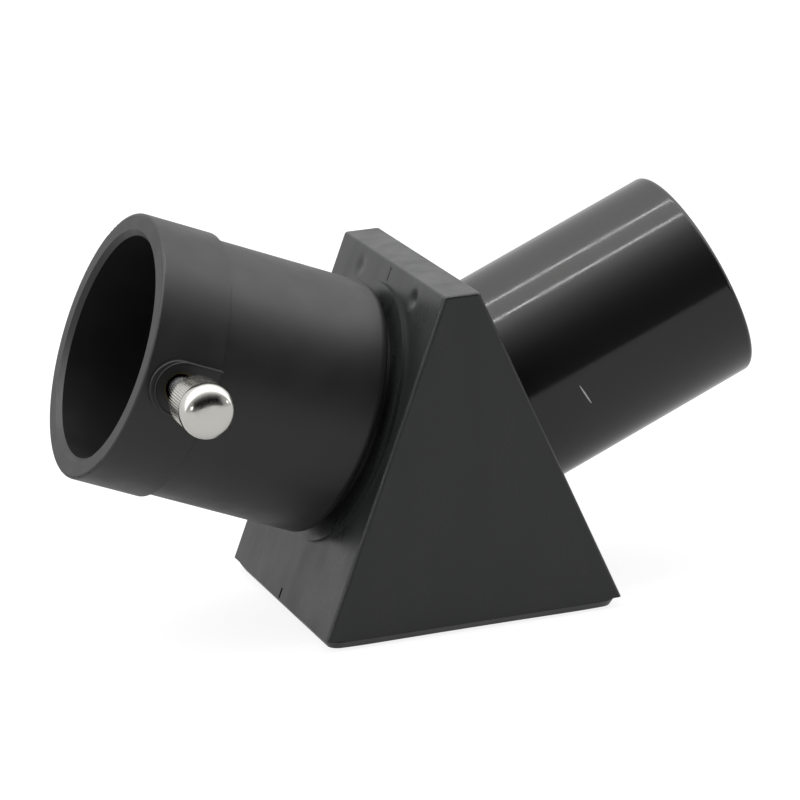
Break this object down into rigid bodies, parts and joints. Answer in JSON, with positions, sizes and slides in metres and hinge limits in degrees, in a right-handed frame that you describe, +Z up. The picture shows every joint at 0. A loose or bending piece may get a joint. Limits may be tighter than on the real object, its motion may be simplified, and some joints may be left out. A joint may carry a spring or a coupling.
{
  "type": "erecting prism diagonal",
  "caption": "Telescope accessory: black wedge housing with a roof prism that turns the view 45 degrees, a tubular eyepiece socket with a thumbscrew, and a plain nose barrel.",
  "frame": {"origin": "centre of the base cover's flat underside, which the diagonal stands on", "axes": "+Z up from the underside; +X towards the nose barrel, which rises 22.5 degrees from +X; the eyepiece socket rises 22.5 degrees from -X; the thumbscrew is on the -Y side"},
  "size_m": [0.1019, 0.055, 0.0596],
  "materials": {
    "housing_black": "satin moulded black ABS",
    "holder_black": "satin moulded black ABS, a little smoother than the housing",
    "barrel_black": "glossy black plastic",
    "head_nickel": "bright nickel plate, straight knurl and smooth dome",
    "stud_nickel": "nickel plated machine thread",
    "insert_brass": "turned brass",
    "blackened_metal": "flat black",
    "prism_glass": "polished, fine ground bevels",
    "cradle_black": "matte moulded black plastic",
    "pad_felt": "black felt",
    "pad_rubber": "black foam rubber",
    "spring_steel": "rolled spring steel strip",
    "screw_steel": "dark zinc plated"
  },
  "bodies": {
    "diagonal": {"prism_housing": "housing_black", "base_cover": "housing_black", "base_cover_screws": "screw_steel", "eyepiece_holder": "holder_black", "socket_stop_ring": "blackened_metal", "thumbscrew_insert": "insert_brass", "nose_barrel": "barrel_black", "nose_baffle": "blackened_metal", "erecting_prism": "prism_glass", "prism_cradle": "cradle_black", "cradle_screws": "screw_steel", "eyepiece_mask": "blackened_metal", "nose_mask": "blackened_metal", "roof_pad_rear": "pad_felt", "roof_pad_front": "pad_felt", "side_pad_rear": "pad_felt", "side_pad_front": "pad_felt", "prism_top_pad": "pad_rubber", "prism_clip": "spring_steel", "prism_clip_screws": "screw_steel"},
    "screw_stud": {"thumbscrew_stud": "stud_nickel"},
    "screw_head": {"thumbscrew_head": "head_nickel"}
  },
  "joints": [
    {"name": "thumbscrew_advance", "type": "slide", "parent": "diagonal", "child": "screw_stud", "axis": [0, 1, 0], "range_m": [-0.0014, 0.0056]},
    {"name": "thumbscrew_turn", "type": "hinge", "parent": "screw_stud", "child": "screw_head", "pos_m": [-0.04028, -0.0294, 0.04001], "axis": [0, 1, 0], "range_deg": [-720, 2880]}
  ],
  "couplings": [
    {"joint": "thumbscrew_turn", "follows": "thumbscrew_advance", "rad_per_m": 8976}
  ]
}
